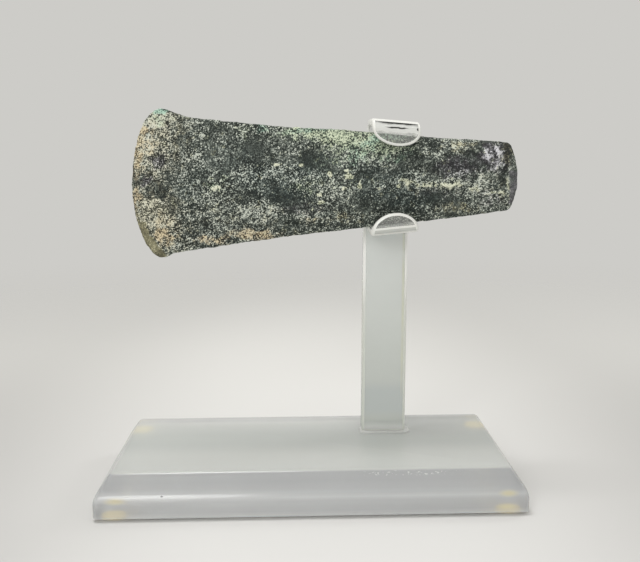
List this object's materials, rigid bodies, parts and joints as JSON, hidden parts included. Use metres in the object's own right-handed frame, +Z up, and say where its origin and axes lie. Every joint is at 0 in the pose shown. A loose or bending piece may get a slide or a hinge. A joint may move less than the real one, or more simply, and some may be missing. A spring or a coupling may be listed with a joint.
{
  "type": "bronze axe head on an acrylic stand",
  "caption": "Flat corroded bronze axe head with a flared, rounded cutting edge, lying level in a bent clear cradle on an upright strip and a bevelled acrylic block.",
  "frame": {"origin": "middle of the block's footprint, on the surface that the pads stand on", "axes": "+Z up, +X along the axe head from its cutting edge to its butt, +Y from the cradle's open front towards the post"},
  "size_m": [0.1309, 0.0624, 0.1213],
  "materials": {
    "bronze": "patinated",
    "clear_acrylic": "clear",
    "post_acrylic": "hazy",
    "block_acrylic": "hazy",
    "pad": "yellowed"
  },
  "bodies": {
    "root": {"axe_head": "bronze", "cradle": "clear_acrylic", "post": "post_acrylic", "base": "block_acrylic", "foot_pad_1": "pad", "foot_pad_2": "pad", "foot_pad_3": "pad", "foot_pad_4": "pad"}
  },
  "joints": []
}
